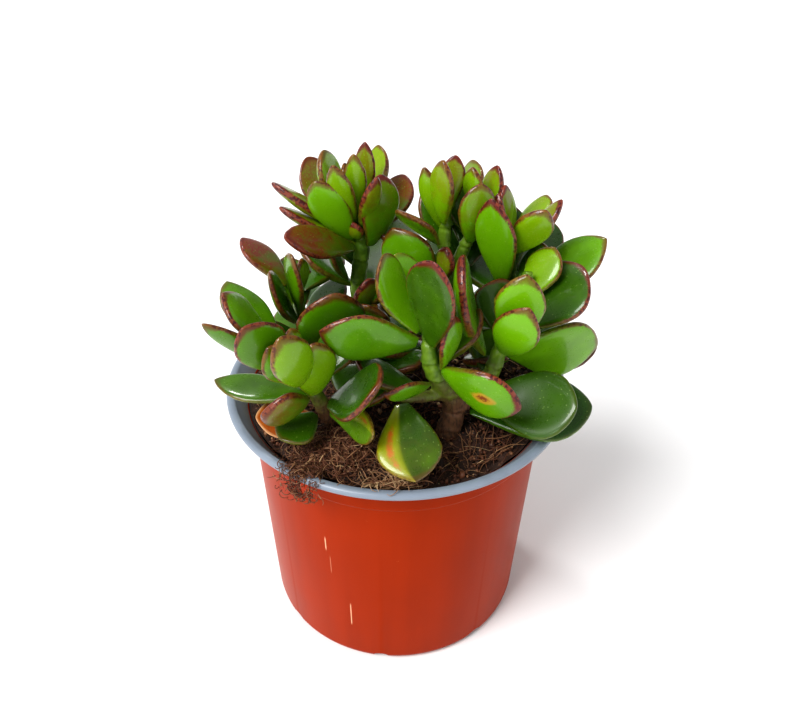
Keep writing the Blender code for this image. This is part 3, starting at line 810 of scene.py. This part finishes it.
def pot_profile(settings):
    """Outline of half the pot, and the number of its points that the outer layer covers.

    It goes from the middle of the underside out, up, over the lip and back down inside.
    """
    wall = settings.wall / MM
    foot, collar = settings.base_radius / MM, settings.collar_radius / MM
    top = POT_HEIGHT - settings.lip_drop / MM
    step = settings.collar_step / MM
    outside = [
        (0.01, 0.7, 0), (33.0, 0.7, 0.5), (34.0, 0.0, 0.5), (foot, 0.0, 2.6),
        (wall_radius(71.0, settings) - step, 71.0, 0.25), (wall_radius(71.6, settings) + 0.05, 71.6, 0.3),
        (collar, top, 0.7), (LIP_RADIUS - 2.6, POT_HEIGHT - 2.9, 0.8),
        (LIP_RADIUS - 0.9, POT_HEIGHT - 2.5, 0.3),
    ]
    lining = [
        (LIP_RADIUS - 0.1, POT_HEIGHT - 1.9, 0.6), (LIP_RADIUS, POT_HEIGHT - 0.7, 0.6),
        (LIP_RADIUS - 0.9, POT_HEIGHT, 0.6), (LIP_RADIUS - 2.3, POT_HEIGHT - 0.1, 0.5),
        (LIP_RADIUS - 2.9, POT_HEIGHT - 0.9, 0.4), (collar + 0.6, top + 0.4, 0.6),
        (collar - wall - 0.1, top - 2.0, 0.8), (wall_radius(4.0, settings) - wall, 4.0, 1.5),
        (38.6, 1.75, 1.0), (0.01, 1.75, 0),
    ]
    return rounded(outside + lining), len(rounded(outside + lining[:1])) - 1


def make_pot(settings):
    """The profile turned once round, lined from edge_row on, with drain notches cut through the foot."""
    profile, edge_row = pot_profile(settings)
    columns = 240
    turn = 2 * np.pi * np.arange(columns) / columns
    radius, angle = np.meshgrid(profile[:, 0], turn, indexing="ij")
    height = np.repeat(profile[:, 1:], columns, axis=1)
    points = np.stack([radius * np.cos(angle), radius * np.sin(angle), height], -1).reshape(-1, 3)
    middle = [(0, 0, profile[0, 1]), (0, 0, profile[-1, 1])]
    faces = tube_faces(len(profile), columns)
    lining = lip_finish(tuple(settings.lining_colour))
    outside = pot_finish(tuple(settings.colour))
    piece = new_piece("nursery_pot", np.vstack([points, middle]), faces, outside)
    mesh = piece.data
    mesh.materials.append(lining)
    quads = (len(profile) - 1) * columns
    slots = np.zeros(len(faces), np.int32)
    slots[:quads] = np.arange(quads) // columns >= edge_row
    slots[quads + 1::2] = 1
    mesh.polygons.foreach_set("material_index", slots)
    outward(mesh)
    cut_notches(piece, settings)
    mesh = piece.data
    mesh.shade_smooth()
    mesh.set_sharp_from_angle(angle=math.radians(38))
    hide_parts("pot")


def cut_notches(piece, settings):
    """Cuts a small round-headed notch at each step round the foot."""
    cutters = []
    width, tall = settings.notch_width / MM / 2, settings.notch_height / MM
    for k in range(settings.notch_count):
        angle = math.radians(-96 + k * 360 / settings.notch_count)
        out = np.array([math.cos(angle), math.sin(angle), 0])
        across = np.array([-math.sin(angle), math.cos(angle), 0])
        bend = np.linspace(0, np.pi, 13)
        arch = [(width * math.cos(b), tall * 0.35 + tall * 0.65 * math.sin(b)) for b in bend]
        arch = [(width, -1.0)] + arch + [(-width, -1.0)]
        rings = [[out * reach + across * a + np.array([0, 0, z]) for a, z in arch] for reach in (34.6, 50.0)]
        count = len(arch)
        points = np.array(rings[0] + rings[1]) * MM
        sides = [(j, (j + 1) % count, count + (j + 1) % count, count + j) for j in range(count)]
        mesh = bpy.data.meshes.new("notch")
        mesh.from_pydata(points.tolist(), [], sides + [list(range(count)), list(range(count, 2 * count))])
        outward(mesh)
        cutter = bpy.data.objects.new("notch", mesh)
        bpy.context.scene.collection.objects.link(cutter)
        cut = piece.modifiers.new("notch", "BOOLEAN")
        cut.operation, cut.solver, cut.object = "DIFFERENCE", "EXACT", cutter
        cutters.append(cutter)
    bake_modifiers(piece)
    for cutter in cutters:
        bpy.data.objects.remove(cutter, do_unlink=True)


def bake_modifiers(piece):
    """Replaces the mesh by what its modifiers make of it."""
    bpy.context.view_layer.update()
    depsgraph = bpy.context.evaluated_depsgraph_get()
    mesh = bpy.data.meshes.new_from_object(piece.evaluated_get(depsgraph))
    piece.modifiers.clear()
    piece.data = mesh


def make_soil():
    """The root ball: a polar grid roughened by noise of three sizes, closed by its sides and bottom."""
    rows, columns = 190, 420
    r = SOIL_EDGE * (np.arange(rows, 0, -1) / rows)
    a = 2 * np.pi * np.arange(columns) / columns
    radius, angle = np.meshgrid(r, a, indexing="ij")
    x, y = radius * np.cos(angle), radius * np.sin(angle)
    flat = np.stack([x.ravel(), y.ravel(), np.zeros(x.size)], 1)
    rough = 1.0 * noise_at(flat, 3.1, 1) + 0.75 * noise_at(flat, 1.3, 2) + 0.4 * noise_at(flat, 0.55, 3)
    rim = smooth_step(SOIL_EDGE, SOIL_EDGE - 3, radius.ravel())
    z = soil_height(x.ravel(), y.ravel()) + rough * (0.35 + 0.65 * rim)
    top = np.stack([x.ravel(), y.ravel(), z], 1)
    rings = []
    for share, height in ((0.86, SOIL_FOOT), (0.90, 12.0), (0.945, 70.0), (0.958, 76.5)):
        rings.append(np.stack([SOIL_EDGE * share * np.cos(a), SOIL_EDGE * share * np.sin(a),
                               np.full(columns, height)], 1))
    points = np.vstack(rings + [top, [[0, 0, SOIL_FOOT], [0, 0, z[-columns:].mean()]]])
    piece = new_piece("root_ball", points, tube_faces(rows + 4, columns), soil_finish())
    outward(piece.data)
    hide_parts("soil")


def bundle(name, paths, radius, tint, material):
    """Thin three-sided tubes along many paths at once, tapered to both ends.

    The paths are an array of fibres by points by xyz.
    """
    sides = 3
    count, steps = paths.shape[:2]
    along = np.gradient(paths, axis=1)
    along /= np.linalg.norm(along, axis=2, keepdims=True) + 1e-9
    lean = np.cross(along, np.array([0.31, 0.17, 0.93]))
    lean /= np.linalg.norm(lean, axis=2, keepdims=True) + 1e-9
    other = np.cross(along, lean)
    share = np.linspace(0, 1, steps)
    thick = radius[:, None] * (0.35 + 0.65 * np.sin(np.pi * share) ** 0.5)
    rings = []
    for k in range(sides):
        turn = 2 * math.pi * k / sides
        rings.append(paths + thick[..., None] * (math.cos(turn) * lean + math.sin(turn) * other))
    points = np.stack(rings, 2).reshape(count, steps * sides, 3)
    row, column = np.meshgrid(np.arange(steps - 1), np.arange(sides), indexing="ij")
    after = (column + 1) % sides
    one = np.stack([row * sides + column, row * sides + after, (row + 1) * sides + after,
                    (row + 1) * sides + column], -1).reshape(-1, 4)
    offset = (np.arange(count) * steps * sides)[:, None, None]
    quads = (one[None] + offset).reshape(-1, 4).tolist()
    caps = []
    for start in (np.arange(count) * steps * sides).tolist():
        caps.append([start + k for k in range(sides)][::-1])
        caps.append([start + (steps - 1) * sides + k for k in range(sides)])
    tints = np.repeat(tint, steps * sides)
    piece = new_piece(name, points.reshape(-1, 3), quads + caps, material, {"tint": tints})
    outward(piece.data)
    return piece


def fibre_paths(rng, start, heading, length, curve, lift, steps=10):
    """Paths that wander from start: each turns at its own rate, follows the ground and arches up by lift."""
    count = len(start)
    share = np.linspace(0, 1, steps)
    wobble = rng.normal(0, 0.35, (count, steps)).cumsum(1) * 0.35
    angle = heading[:, None] + curve[:, None] * share + wobble
    step = (length / (steps - 1))[:, None]
    x = start[:, :1] + np.concatenate([np.zeros((count, 1)), (np.cos(angle[:, 1:]) * step).cumsum(1)], 1)
    y = start[:, 1:2] + np.concatenate([np.zeros((count, 1)), (np.sin(angle[:, 1:]) * step).cumsum(1)], 1)
    arch = np.sin(np.pi * np.clip(share[None] * rng.uniform(0.7, 1.5, (count, 1)), 0, 1))
    z = ground(x, y) + 0.3 + lift[:, None] * arch + start[:, 2:3]
    return np.stack([x, y, z], 2)


def curl_paths(rng, middle, least, most, steps=9):
    """Arcs of 100 to 330 degrees round each middle, each in its own plane, opening a little as they go."""
    count = len(middle)
    first = rng.normal(size=(count, 3))
    first /= np.linalg.norm(first, axis=1, keepdims=True)
    second = np.cross(first, rng.normal(size=(count, 3)))
    second /= np.linalg.norm(second, axis=1, keepdims=True)
    first[:, 2] *= 0.6
    second[:, 2] *= 0.6
    sweep = np.radians(rng.uniform(100, 330, count))[:, None] * np.linspace(0, 1, steps)
    radius = rng.uniform(least, most, count)[:, None] * np.linspace(0.8, 1.2, steps)
    ring = (np.cos(sweep) * radius)[..., None] * first[:, None]
    ring += (np.sin(sweep) * radius)[..., None] * second[:, None]
    return middle[:, None] + ring


def lifted(paths):
    """Keeps fibres out of the lip and, below it, out of the wall."""
    radius = np.hypot(paths[..., 0], paths[..., 1])
    over = (radius > LIP_RADIUS - 4.0) & (radius < LIP_RADIUS + 0.3)
    low = np.minimum(paths[..., 2], POT_HEIGHT + 0.2)
    high = over & (paths[..., 2] > POT_HEIGHT - 3)
    paths[..., 2] = np.where(high, np.maximum(paths[..., 2], POT_HEIGHT + 0.2), paths[..., 2])
    push = np.where(over & (low < POT_HEIGHT - 3), (LIP_RADIUS + 0.3) / radius, 1.0)
    paths[..., :2] *= push[..., None]
    return paths


def inside_pot(rng, count, limit):
    """X and Y of places spread evenly over a disc."""
    radius = limit * np.sqrt(rng.uniform(0, 1, count))
    angle = rng.uniform(0, 2 * np.pi, count)
    return radius * np.cos(angle), radius * np.sin(angle)


def scatter_coir(settings):
    """Loose fibres all over, a tangle on the heap, a tuft over the lip, and straw at the front."""
    rng = np.random.default_rng(11)
    material = coir_finish()
    n = settings.fibre_count
    x, y = inside_pot(rng, n, SOIL_RADIUS)
    start = np.stack([x, y, np.zeros(n)], 1)
    paths = fibre_paths(rng, start, rng.uniform(0, 2 * np.pi, n), rng.uniform(3, 11, n),
                        rng.normal(0, 1.3, n), rng.uniform(0, 1.3, n))
    keep = np.hypot(paths[..., 0], paths[..., 1]).max(1) < SOIL_RADIUS + 1.6
    paths = paths[keep]
    radius = rng.uniform(0.06, 0.16, len(paths))
    tint = np.clip(rng.beta(1.6, 1.7, len(paths)), 0, 1)
    bundle("coir_loose", paths, radius, tint, material)

    n = settings.heap_count
    x, y = rng.normal(TANGLE[0], 6.2, n), rng.normal(TANGLE[1], 4.6, n)
    middle = np.stack([x, y, soil_height(x, y) + rng.uniform(-1.0, 1.6, n)], 1)
    paths = curl_paths(rng, middle[np.hypot(x, y) < LIP_RADIUS - 6.5], 0.8, 3.2)
    radius = rng.uniform(0.08, 0.18, len(paths))
    bundle("coir_heap", paths, radius, np.clip(rng.normal(0.52, 0.2, len(paths)), 0, 1), material)

    n = settings.tuft_count
    radius = rng.uniform(LIP_RADIUS - 12, LIP_RADIUS + 0.2, n)
    turn = rng.normal(math.radians(TUFT_TURN), 0.055, n)
    x, y = radius * np.cos(turn), radius * np.sin(turn)
    middle = np.stack([x, y, ground(x, y) + rng.uniform(-0.2, 1.3, n)], 1)
    hanging = rng.uniform(0, 1, n) < 0.25
    middle[hanging, 2] -= rng.uniform(0, 6.0, hanging.sum())
    middle[hanging, :2] *= ((LIP_RADIUS + 0.7) / radius[hanging])[:, None]
    paths = curl_paths(rng, middle, 0.5, 1.6)
    paths = lifted(paths)
    bundle("coir_tuft", paths, rng.uniform(0.08, 0.17, n), np.clip(rng.normal(0.45, 0.18, n), 0, 1), material)

    n = settings.straw_count
    start = np.stack([rng.normal(-1.5, 3.2, n), rng.normal(-44.0, 2.0, n), rng.uniform(0, 0.8, n)], 1)
    paths = fibre_paths(rng, start, rng.uniform(0, 2 * np.pi, n), rng.uniform(4, 9, n), rng.normal(0, 1.2, n),
                        rng.uniform(0, 1.8, n))
    paths = paths[np.hypot(paths[..., 0], paths[..., 1]).max(1) < LIP_RADIUS]
    radius = rng.uniform(0.08, 0.18, len(paths))
    bundle("coir_straw", paths, radius, rng.uniform(0.6, 1.0, len(paths)), material)

    n = settings.stick_count
    start = np.stack([rng.normal(25, 5, n), rng.normal(-33, 4, n), rng.uniform(0.3, 1.2, n)], 1)
    paths = fibre_paths(rng, start, rng.normal(0.8, 0.5, n), rng.uniform(5, 14, n), rng.normal(0, 0.4, n),
                        rng.uniform(0, 1.0, n))
    paths = paths[np.hypot(paths[..., 0], paths[..., 1]).max(1) < LIP_RADIUS - 6]
    radius = rng.uniform(0.08, 0.18, len(paths))
    bundle("coir_sticks", paths, radius, rng.uniform(0.3, 0.9, len(paths)), material)
    scatter_crumbs(rng, settings, coir_finish("peat_crumbs"))


def scatter_crumbs(rng, settings, material):
    """Lumps of peat: an icosahedron each, its corners pushed in and out, pressed a little into the soil."""
    golden = (1 + 5**0.5) / 2
    corners = np.array([(-1, golden, 0), (1, golden, 0), (-1, -golden, 0), (1, -golden, 0), (0, -1, golden),
                        (0, 1, golden), (0, -1, -golden), (0, 1, -golden), (golden, 0, -1), (golden, 0, 1),
                        (-golden, 0, -1), (-golden, 0, 1)]) / 1.9
    ball = bmesh.new()
    for corner in corners:
        ball.verts.new(corner)
    bmesh.ops.convex_hull(ball, input=ball.verts)
    ball.verts.index_update()
    one = np.array([[v.index for v in face.verts] for face in ball.faces])
    base = np.array([v.co for v in ball.verts])
    ball.free()
    n = settings.crumb_count
    x, y = inside_pot(rng, n, SOIL_RADIUS + 0.9)
    size = rng.uniform(0.3, 1.15, n) * rng.uniform(0.6, 1.0, n)
    stretch = rng.uniform(0.6, 1.3, (n, 1, 3))
    pushed = base[None] * rng.uniform(0.7, 1.25, (n, len(base), 1)) * stretch * size[:, None, None]
    spin = rng.uniform(0, 2 * np.pi, n)
    turned = pushed.copy()
    turned[..., 0] = pushed[..., 0] * np.cos(spin)[:, None] - pushed[..., 1] * np.sin(spin)[:, None]
    turned[..., 1] = pushed[..., 0] * np.sin(spin)[:, None] + pushed[..., 1] * np.cos(spin)[:, None]
    middle = np.stack([x, y, soil_height(x, y) + 0.45], 1)
    points = (turned + middle[:, None]).reshape(-1, 3)
    faces = (one[None] + (np.arange(n) * len(base))[:, None, None]).reshape(-1, 3).tolist()
    tint = np.clip(rng.beta(1.1, 2.6, n) + (rng.uniform(0, 1, n) > 0.975) * 0.7, 0, 1)
    piece = new_piece("peat_crumbs", points, faces, material, {"tint": np.repeat(tint, len(base))})
    outward(piece.data)


def make_stem(node, material):
    """The CAD stem welded, remeshed fine and smoothed, with rings of old leaf scars and fine bark."""
    points, faces = welded(node)
    piece = new_piece(node.replace("stem_", "stalk_"), points, faces.tolist(), material)
    outward(piece.data)
    remesh = piece.modifiers.new("fine", "REMESH")
    remesh.mode, remesh.voxel_size = "VOXEL", 0.00042
    soften = piece.modifiers.new("soft", "SMOOTH")
    soften.factor, soften.iterations = 0.5, 10
    bake_modifiers(piece)
    mesh = piece.data
    mesh.shade_smooth()
    corners = np.empty(len(mesh.vertices) * 3, np.float32)
    normals = np.empty(len(mesh.vertices) * 3, np.float32)
    mesh.vertices.foreach_get("co", corners)
    mesh.vertex_normals.foreach_get("vector", normals)
    spots = corners.reshape(-1, 3).astype(float) / MM
    swell = 0.16 * noise_at(spots, 2.2, 21) + 0.08 * noise_at(spots, 0.8, 22)
    scar = (spots[:, 2] + 0.8 * noise_at(spots, 3.0, 23)) % 6.5
    swell -= 0.22 * np.exp(-((scar - 3.2) / 0.45) ** 2)
    swell += 0.18 * np.exp(-((scar - 4.2) / 0.6) ** 2)
    spots += normals.reshape(-1, 3) * swell[:, None]
    mesh.vertices.foreach_set("co", (spots * MM).astype(np.float32).ravel())
    mesh.update()
    if not mesh.materials:
        mesh.materials.append(material)
    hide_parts(node)


def leaf_materials():
    """One finish for each of the frame's leaf slots, from its upper colour, under colour and roughness."""
    return {
        # The under colours are paler partly for the real paler underside, partly as painted light shining
        # through the leaf
        "green": leaf_finish("green", (0.020, 0.075, 0.001), (0.070, 0.20, 0.001), 0.30),
        "young": leaf_finish("young", (0.05, 0.16, 0.004), (0.10, 0.26, 0.005), 0.26),
        "blush": leaf_finish("blush", (0.035, 0.085, 0.004), (0.075, 0.17, 0.006), 0.32),
        "turning": leaf_finish("turning", (0.025, 0.060, 0.004), (0.11, 0.16, 0.006), 0.30),
        "dead": dead_leaf_finish(),
    }


def length(name, description, default):
    """A length property in metres."""
    return bpy.props.FloatProperty(name=name, description=description, default=default, subtype="DISTANCE",
                                   unit="LENGTH", precision=4)


def shade(name, description, default):
    """A colour property."""
    return bpy.props.FloatVectorProperty(name=name, description=description, default=default,
                                         subtype="COLOR", size=3)


def amount(name, description, default):
    """A property that counts pieces."""
    return bpy.props.IntProperty(name=name, description=description, default=default)


class PotSettings(bpy.types.PropertyGroup):
    """Sizes and colours of the pot."""

    base_radius: length("Base radius", "Outside radius at the foot", 0.0424)
    collar_radius: length("Collar radius", "Outside radius under the lip", 0.046)
    collar_step: length("Collar step", "Depth of the step below the collar", 0.0003)
    wall: length("Wall", "Thickness of the plastic", 0.0011)
    lip_drop: length("Lip drop", "From the top down to the foot of the lip", 0.005)
    notch_count: amount("Notches", "Drain notches round the foot", 8)
    notch_width: length("Notch width", "Width of a drain notch", 0.005)
    notch_height: length("Notch height", "Height of a drain notch", 0.0026)
    colour: shade("Colour", "Outer layer of the plastic", (0.31, 0.025, 0.0))
    lining_colour: shade("Lining colour", "Lip and inner layer", (0.22, 0.26, 0.32))


class SoilSettings(bpy.types.PropertyGroup):
    """How much loose material lies on the soil."""

    fibre_count: amount("Fibres", "Loose fibres all over the soil", 1500)
    heap_count: amount("Heap fibres", "Curled fibres on the heap", 2000)
    tuft_count: amount("Tuft fibres", "Curled fibres over the lip", 520)
    straw_count: amount("Straw", "Pale fibres at the front", 150)
    stick_count: amount("Sticks", "Straighter fibres on the right", 46)
    crumb_count: amount("Crumbs", "Lumps of peat", 2200)


class PlantSettings(bpy.types.PropertyGroup):
    """What grows on the plant."""

    young_leaves: bpy.props.BoolProperty(name="Young leaves", description="Add the small leaves at the tips",
                                         default=True)


class JADE_OT_pot(bpy.types.Operator):
    """Build the nursery pot"""

    bl_idname = "jade.pot"
    bl_label = "Pot"

    def execute(self, context):
        make_pot(context.scene.jade_pot)
        return {"FINISHED"}


class JADE_OT_soil(bpy.types.Operator):
    """Build the root ball with its loose fibres and crumbs"""

    bl_idname = "jade.soil"
    bl_label = "Soil"

    def execute(self, context):
        make_soil()
        scatter_coir(context.scene.jade_soil)
        return {"FINISHED"}


class JADE_OT_stems(bpy.types.Operator):
    """Build the stems"""

    bl_idname = "jade.stems"
    bl_label = "Stems"

    def execute(self, context):
        material = stem_finish()
        for node in sorted(NODES):
            if node.startswith("stem_"):
                make_stem(node, material)
        return {"FINISHED"}


class JADE_OT_leaves(bpy.types.Operator):
    """Build every leaf, and the young ones at the tips"""

    bl_idname = "jade.leaves"
    bl_label = "Leaves"

    def execute(self, context):
        materials = leaf_materials()
        for number, node in enumerate(sorted(name for name in NODES if name.startswith("leaf_"))):
            kind = SLOTS[node]
            looks = LEAF_LOOKS.get(node, {})
            blade = node.replace("leaf_", "blade_")
            piece = leaf_piece(blade, read_leaf(node), kind, looks, materials[kind], number)
            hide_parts(node)
        if context.scene.jade_plant.young_leaves:
            for shoot, (stem, side, leaves) in YOUNG.items():
                for number, (height, *angles, kind) in enumerate(leaves, 1):
                    leaf = placed_leaf(stem_middle(stem, side, height), *angles)
                    looks = TIP_BLUSH if kind == "blush" else {}
                    seed = 100 + number * 7
                    leaf_piece(f"young_{shoot}_{number}", leaf, kind, looks, materials[kind], seed)
        return {"FINISHED"}


class JADE_OT_stage(bpy.types.Operator):
    """Build the floor, the soft light and the camera"""

    bl_idname = "jade.stage"
    bl_label = "Stage"

    def execute(self, context):
        make_stage()
        return {"FINISHED"}


class JADE_PT_panel(bpy.types.Panel):
    """Sidebar panel with one button for each group of pieces"""

    bl_label = "Jade Plant"
    bl_idname = "JADE_PT_panel"
    bl_space_type = "VIEW_3D"
    bl_region_type = "UI"
    bl_category = "Jade Plant"

    def draw(self, context):
        for settings in (context.scene.jade_pot, context.scene.jade_soil, context.scene.jade_plant):
            box = self.layout.box()
            for key in settings.bl_rna.properties.keys():
                if key not in ("rna_type", "name"):
                    box.prop(settings, key)
        for operator in (JADE_OT_pot, JADE_OT_soil, JADE_OT_stems, JADE_OT_leaves, JADE_OT_stage):
            self.layout.operator(operator.bl_idname)


def sun(name, place, width, strength):
    """A soft sun of an apparent width in degrees, shining from a place towards the pot."""
    data = bpy.data.lights.new(name, "SUN")
    data.angle, data.energy = math.radians(width), strength
    light = bpy.data.objects.new(name, data)
    bpy.context.scene.collection.objects.link(light)
    light.location = place
    aim(light, (0.0, 0.0, 0.09))


def aim(obj, target, roll=0.0):
    """Turns an object's -Z axis towards a target, then rolls it."""
    way = Vector(target) - Vector(obj.location)
    turned = way.to_track_quat("-Z", "Y").to_matrix() @ Matrix.Rotation(roll, 3, "Z")
    obj.rotation_euler = turned.to_euler()


def make_floor(material):
    """A disc, flat round the plant, that sweeps up far out so that no edge shows from low down.

    Past FLOOR_FLAT its height grows with the square of the distance.
    """
    turns, rings = 64, 13
    angles = np.arange(turns) * 2 * np.pi / turns
    points = [(0.0, 0.0, FLOOR_LEVEL)]
    for radius in np.linspace(FLOOR_FLAT, FLOOR_REACH, rings):
        height = FLOOR_RISE * ((radius - FLOOR_FLAT) / (FLOOR_REACH - FLOOR_FLAT)) ** 2 + FLOOR_LEVEL
        points.extend((radius * math.cos(a), radius * math.sin(a), height) for a in angles)
    faces = [(0, 1 + k, 1 + (k + 1) % turns) for k in range(turns)]
    for ring in range(rings - 1):
        inner, outer = 1 + ring * turns, 1 + (ring + 1) * turns
        for k in range(turns):
            after = (k + 1) % turns
            faces.append((inner + k, outer + k, outer + after, inner + after))
    mesh = bpy.data.meshes.new("floor")
    mesh.from_pydata(points, [], faces)
    mesh.shade_smooth()
    mesh.materials.append(material)
    floor = bpy.data.objects.new("floor", mesh)
    bpy.context.scene.collection.objects.link(floor)


def make_stage():
    """A pale floor, a soft key from the upper left, a weak fill, two small glints, and the camera."""
    scene = bpy.context.scene
    scene.view_settings.view_transform = "Standard"
    scene.view_settings.look = "Medium High Contrast"
    paint = Paint("floor")
    speck = paint.noise(paint.place(), 0.2, 2.0)
    pale = paint.mix(speck, (0.86, 0.86, 0.86), (0.88, 0.88, 0.88))
    make_floor(paint.finish(Base_Colour=pale, Roughness=0.8))
    world = bpy.data.worlds.new("studio")
    world.use_nodes = True
    background = world.node_tree.nodes["Background"]
    background.inputs["Color"].default_value = (1.0, 1.0, 1.0, 1.0)
    background.inputs["Strength"].default_value = WORLD_STRENGTH
    scene.world = world
    for name, place, width, strength in SUNS:
        sun(name, place, width, strength)
    camera_data = bpy.data.cameras.new("camera")
    camera_data.sensor_width = CAMERA_SENSOR
    camera_data.lens = CAMERA_LENS
    camera = bpy.data.objects.new("camera", camera_data)
    scene.collection.objects.link(camera)
    camera.location = CAMERA_PLACE
    aim(camera, CAMERA_TARGET, math.radians(CAMERA_ROLL))
    scene.camera = camera


CLASSES = [PotSettings, SoilSettings, PlantSettings, JADE_OT_pot, JADE_OT_soil, JADE_OT_stems, JADE_OT_leaves,
           JADE_OT_stage, JADE_PT_panel]


def register():
    for cls in CLASSES:
        bpy.utils.register_class(cls)
    bpy.types.Scene.jade_pot = bpy.props.PointerProperty(type=PotSettings)
    bpy.types.Scene.jade_soil = bpy.props.PointerProperty(type=SoilSettings)
    bpy.types.Scene.jade_plant = bpy.props.PointerProperty(type=PlantSettings)


def unregister():
    del bpy.types.Scene.jade_pot
    del bpy.types.Scene.jade_soil
    del bpy.types.Scene.jade_plant
    for cls in reversed(CLASSES):
        bpy.utils.unregister_class(cls)


def main():
    register()
    bpy.ops.jade.stage()
    bpy.ops.jade.pot()
    bpy.ops.jade.soil()
    bpy.ops.jade.stems()
    bpy.ops.jade.leaves()


if __name__ == "__main__":
    main()
